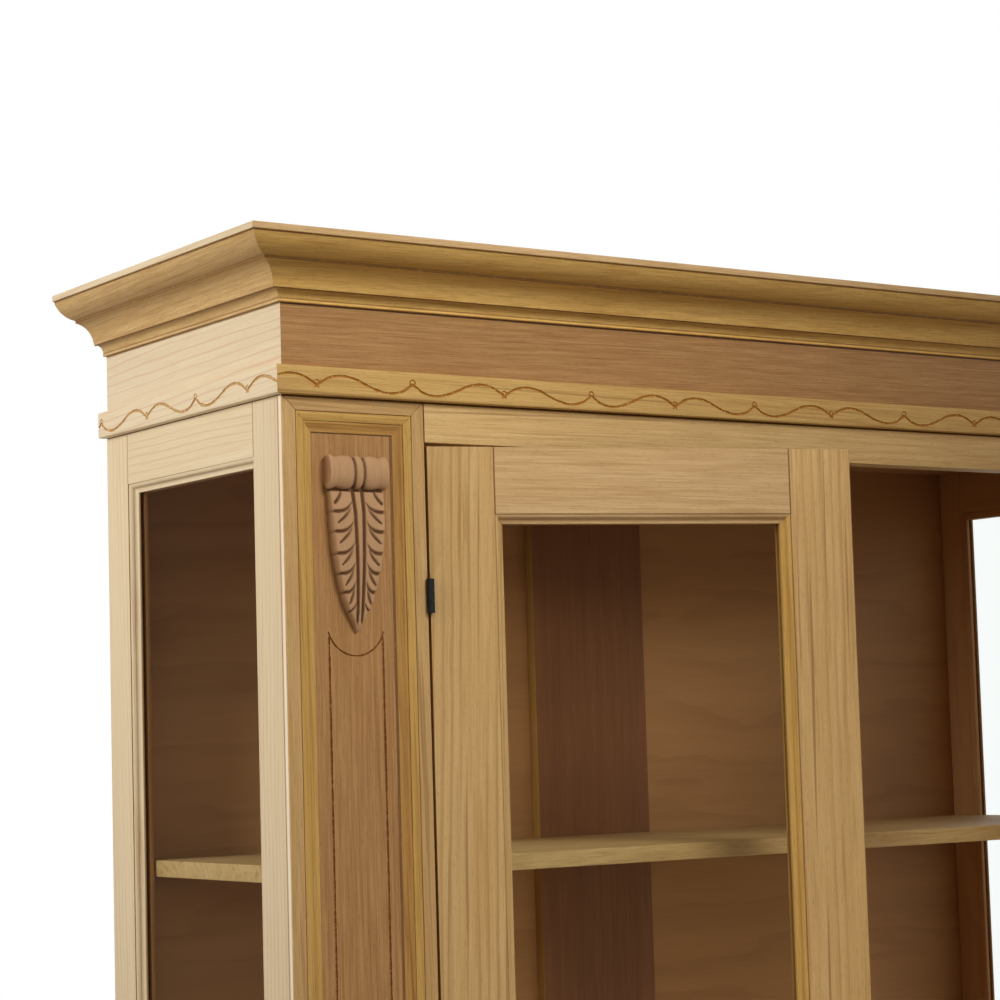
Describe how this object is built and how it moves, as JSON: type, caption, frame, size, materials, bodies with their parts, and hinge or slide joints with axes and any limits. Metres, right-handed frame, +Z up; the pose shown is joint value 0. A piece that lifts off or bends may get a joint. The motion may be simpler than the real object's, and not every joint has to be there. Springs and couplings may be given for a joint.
{
  "type": "display cabinet",
  "caption": "Tall wooden display cabinet with two glazed hinged doors, glazed sides, shelves, pilasters with carved brackets and a moulded cornice.",
  "frame": {"origin": "centre of the carcass's footprint on the floor, on the underside of the centre bearer; the crown and the plinth stand proud of the carcass at the front and sides, and the open doors reach further forward", "axes": "+Z up, +X to the viewer's right along the front, +Y from the front to the back"},
  "size_m": [1.412, 0.7087, 2.1],
  "materials": {
    "black_steel": "blackened, satin",
    "bright_steel": "satin",
    "brown_plastic": "moulded",
    "carved_wood": "carved, raw",
    "crown_wood": "moulded, raw",
    "glass": "clear float",
    "golden_wood": "planed, raw",
    "ply": "rotary cut veneer, raw",
    "red_wood": "planed, raw",
    "side_wood": "planed, raw"
  },
  "bodies": {
    "cabinet": {"back_panels": "ply", "base_moulding": "golden_wood", "bottom_board": "golden_wood", "carved_trim_front": "golden_wood", "carved_trim_sides": "side_wood", "centre_post": "red_wood", "corbel_left": "carved_wood", "corbel_right": "carved_wood", "cornice_back_board": "ply", "crown_front": "crown_wood", "crown_sides": "crown_wood", "dust_cover": "ply", "face_rail_bottom": "golden_wood", "face_rail_top": "golden_wood", "frieze_front": "red_wood", "frieze_sides": "side_wood", "hinge_frame_leaves": "black_steel", "hinge_jambs": "golden_wood", "hinge_pins": "black_steel", "magnetic_catches": "brown_plastic", "pilaster_boards": "golden_wood", "pilaster_frame_left": "golden_wood", "pilaster_frame_right": "golden_wood", "pilaster_panel_left": "red_wood", "pilaster_panel_right": "red_wood", "plinth": "golden_wood", "shelf_lower": "golden_wood", "shelf_middle": "golden_wood", "shelf_pins": "bright_steel", "shelf_upper": "golden_wood", "side_glazing_beads": "side_wood", "side_left_back_stile": "side_wood", "side_left_bottom_rail": "side_wood", "side_left_front_stile": "side_wood", "side_left_glass": "glass", "side_left_top_rail": "side_wood", "side_right_back_stile": "side_wood", "side_right_bottom_rail": "side_wood", "side_right_front_stile": "side_wood", "side_right_glass": "glass", "side_right_top_rail": "side_wood", "top_board": "golden_wood"},
    "left_door": {"left_door_bottom_rail": "golden_wood", "left_door_glass": "glass", "left_door_glazing_beads": "golden_wood", "left_door_hinge_leaves": "black_steel", "left_door_hinge_stile": "golden_wood", "left_door_knob": "golden_wood", "left_door_meeting_stile": "golden_wood", "left_door_strike_plate": "bright_steel", "left_door_top_rail": "golden_wood"},
    "right_door": {"right_door_bottom_rail": "golden_wood", "right_door_glass": "glass", "right_door_glazing_beads": "golden_wood", "right_door_hinge_leaves": "black_steel", "right_door_hinge_stile": "golden_wood", "right_door_knob": "golden_wood", "right_door_meeting_stile": "golden_wood", "right_door_strike_plate": "bright_steel", "right_door_top_rail": "golden_wood"}
  },
  "joints": [
    {"name": "left_door_hinge", "type": "hinge", "parent": "cabinet", "child": "left_door", "pos_m": [-0.47425, -0.2043, 1.045], "axis": [0, 0, -1], "range_deg": [-16.5, 88.5]},
    {"name": "right_door_hinge", "type": "hinge", "parent": "cabinet", "child": "right_door", "pos_m": [0.47425, -0.2043, 1.045], "axis": [0, 0, 1], "range_deg": [-40, 65]}
  ]
}
